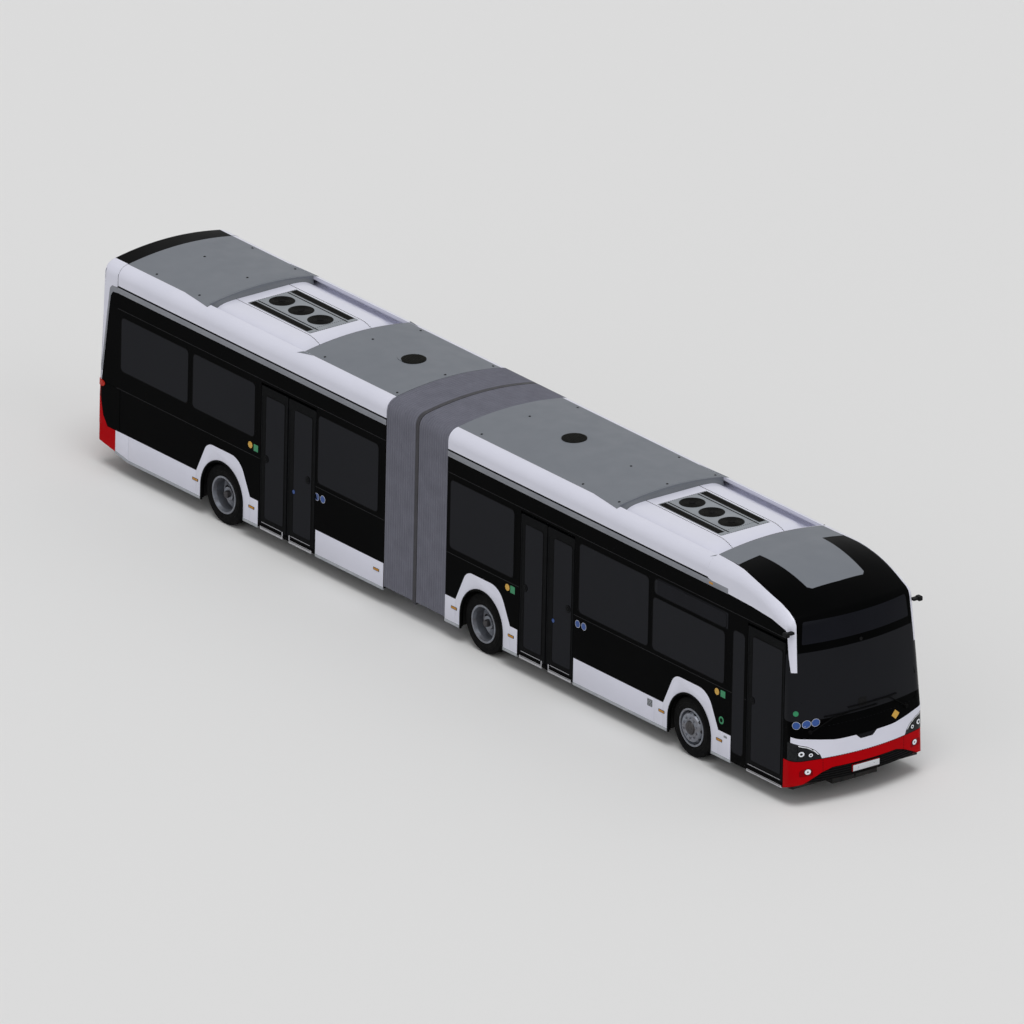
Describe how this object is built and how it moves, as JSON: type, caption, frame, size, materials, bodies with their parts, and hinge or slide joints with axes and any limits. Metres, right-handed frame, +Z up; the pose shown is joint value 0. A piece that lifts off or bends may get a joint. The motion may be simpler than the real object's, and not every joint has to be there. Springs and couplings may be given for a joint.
{
  "type": "low-floor articulated city bus",
  "caption": "Full-size articulated low-floor bus with swinging doors, steered front wheels, twin-tyred axles and a turntable joint in a folding bellows.",
  "frame": {"origin": "on the ground under the middle of the whole bus, on its centre line", "axes": "+X forward, +Y to the left, +Z up"},
  "size_m": [18.26, 2.6456, 3.5389],
  "materials": {
    "body_white": "gloss paint",
    "body_black": "gloss black paint",
    "roof_grey": "satin grey",
    "bumper_red": "gloss red",
    "dark_glass": "tinted glass",
    "lamp_glass": "clear lens",
    "lamp_red": "red lens",
    "frame_steel": "satin black underseal",
    "axle_steel": "cast",
    "rim_steel": "silver paint",
    "tyre": "rubber",
    "bellows_cloth": "coated fabric",
    "hoop_metal": "satin",
    "seat_shell": "textured plastic",
    "cab_plastic": "grained plastic",
    "black_plastic": "moulded",
    "battery_case": "satin"
  },
  "bodies": {
    "front_section": {"front_underframe": "frame_steel", "front_right_wall": "body_black", "front_left_wall": "body_black", "front_roof": "body_white", "front_mask": "body_black", "windscreen": "dark_glass", "front_panel": "body_white", "headlamps": "lamp_glass", "front_bumper": "bumper_red", "camera_mirrors": "black_plastic", "front_windows": "dark_glass", "front_roof_covers": "roof_grey", "front_cooling_unit": "body_white", "driver_cab": "cab_plastic", "front_seats": "seat_shell", "front_axle_beam": "axle_steel", "mid_axle": "axle_steel", "front_turntable": "frame_steel", "bellows_front": "bellows_cloth"},
    "rear_section": {"rear_underframe": "frame_steel", "rear_right_wall": "body_black", "rear_left_wall": "body_black", "rear_roof": "body_white", "rear_wall": "body_black", "rear_bumper": "bumper_red", "tail_lamps": "lamp_red", "rear_windows": "dark_glass", "rear_roof_covers": "roof_grey", "rear_cooling_unit": "body_white", "rear_seats": "seat_shell", "traction_battery": "battery_case", "rear_axle": "axle_steel", "rear_turntable": "frame_steel", "bellows_rear": "bellows_cloth"},
    "centre_hoop": {"centre_hoop": "hoop_metal"},
    "knuckle_left": {"knuckle_left": "axle_steel"},
    "knuckle_right": {"knuckle_right": "axle_steel"},
    "front_left_wheel": {"front_left_tyre": "tyre", "front_left_rim": "rim_steel"},
    "front_right_wheel": {"front_right_tyre": "tyre", "front_right_rim": "rim_steel"},
    "mid_left_wheels": {"mid_left_tyres": "tyre", "mid_left_rims": "rim_steel"},
    "mid_right_wheels": {"mid_right_tyres": "tyre", "mid_right_rims": "rim_steel"},
    "rear_left_wheels": {"rear_left_tyres": "tyre", "rear_left_rims": "rim_steel"},
    "rear_right_wheels": {"rear_right_tyres": "tyre", "rear_right_rims": "rim_steel"},
    "front_door_leaf": {"front_door_leaf": "body_black", "front_door_glass": "dark_glass"},
    "mid_door_rear_leaf": {"mid_door_rear_leaf": "body_black", "mid_door_rear_glass": "dark_glass"},
    "mid_door_front_leaf": {"mid_door_front_leaf": "body_black", "mid_door_front_glass": "dark_glass"},
    "rear_door_rear_leaf": {"rear_door_rear_leaf": "body_black", "rear_door_rear_glass": "dark_glass"},
    "rear_door_front_leaf": {"rear_door_front_leaf": "body_black", "rear_door_front_glass": "dark_glass"}
  },
  "joints": [
    {"name": "articulation", "type": "hinge", "parent": "front_section", "child": "rear_section", "pos_m": [-0.805, 0, 0.3], "axis": [0, 0, 1], "range_deg": [-50, 50], "deforming": ["bellows_front", "bellows_rear"]},
    {"name": "hoop_turn", "type": "hinge", "parent": "front_section", "child": "centre_hoop", "pos_m": [-0.805, 0, 0.3], "axis": [0, 0, 1], "range_deg": [-25, 25]},
    {"name": "steer_left", "type": "hinge", "parent": "front_section", "child": "knuckle_left", "pos_m": [6.275, 1, 0.49], "axis": [0, 0, 1], "range_deg": [-42, 42]},
    {"name": "steer_right", "type": "hinge", "parent": "front_section", "child": "knuckle_right", "pos_m": [6.275, -1, 0.49], "axis": [0, 0, 1], "range_deg": [-42, 42]},
    {"name": "front_left_spin", "type": "hinge", "parent": "knuckle_left", "child": "front_left_wheel", "pos_m": [6.275, 1.085, 0.49], "axis": [0, 1, 0], "continuous": true},
    {"name": "front_right_spin", "type": "hinge", "parent": "knuckle_right", "child": "front_right_wheel", "pos_m": [6.275, -1.085, 0.49], "axis": [0, 1, 0], "continuous": true},
    {"name": "mid_left_spin", "type": "hinge", "parent": "front_section", "child": "mid_left_wheels", "pos_m": [0.925, 1.085, 0.49], "axis": [0, 1, 0], "continuous": true},
    {"name": "mid_right_spin", "type": "hinge", "parent": "front_section", "child": "mid_right_wheels", "pos_m": [0.925, -1.085, 0.49], "axis": [0, 1, 0], "continuous": true},
    {"name": "rear_left_spin", "type": "hinge", "parent": "rear_section", "child": "rear_left_wheels", "pos_m": [-5.835, 1.085, 0.49], "axis": [0, 1, 0], "continuous": true},
    {"name": "rear_right_spin", "type": "hinge", "parent": "rear_section", "child": "rear_right_wheels", "pos_m": [-5.835, -1.085, 0.49], "axis": [0, 1, 0], "continuous": true},
    {"name": "front_door_swing", "type": "hinge", "parent": "front_section", "child": "front_door_leaf", "pos_m": [7.743, -1.23129, 0.355], "axis": [0, 0.0243, 0.9997], "range_deg": [0, 90]},
    {"name": "mid_door_rear_swing", "type": "hinge", "parent": "front_section", "child": "mid_door_rear_leaf", "pos_m": [1.923, -1.23129, 0.355], "axis": [0, 0.0243, 0.9997], "range_deg": [0, 90]},
    {"name": "mid_door_front_swing", "type": "hinge", "parent": "front_section", "child": "mid_door_front_leaf", "pos_m": [3.257, -1.23129, 0.355], "axis": [0, -0.0243, -0.9997], "range_deg": [0, 90]},
    {"name": "rear_door_rear_swing", "type": "hinge", "parent": "rear_section", "child": "rear_door_rear_leaf", "pos_m": [-4.817, -1.23129, 0.355], "axis": [0, 0.0243, 0.9997], "range_deg": [0, 90]},
    {"name": "rear_door_front_swing", "type": "hinge", "parent": "rear_section", "child": "rear_door_front_leaf", "pos_m": [-3.433, -1.23129, 0.355], "axis": [0, -0.0243, -0.9997], "range_deg": [0, 90]}
  ],
  "couplings": [
    {"joint": "hoop_turn", "follows": "articulation", "ratio": 0.5},
    {"joint": "steer_right", "follows": "steer_left", "ratio": 1}
  ]
}
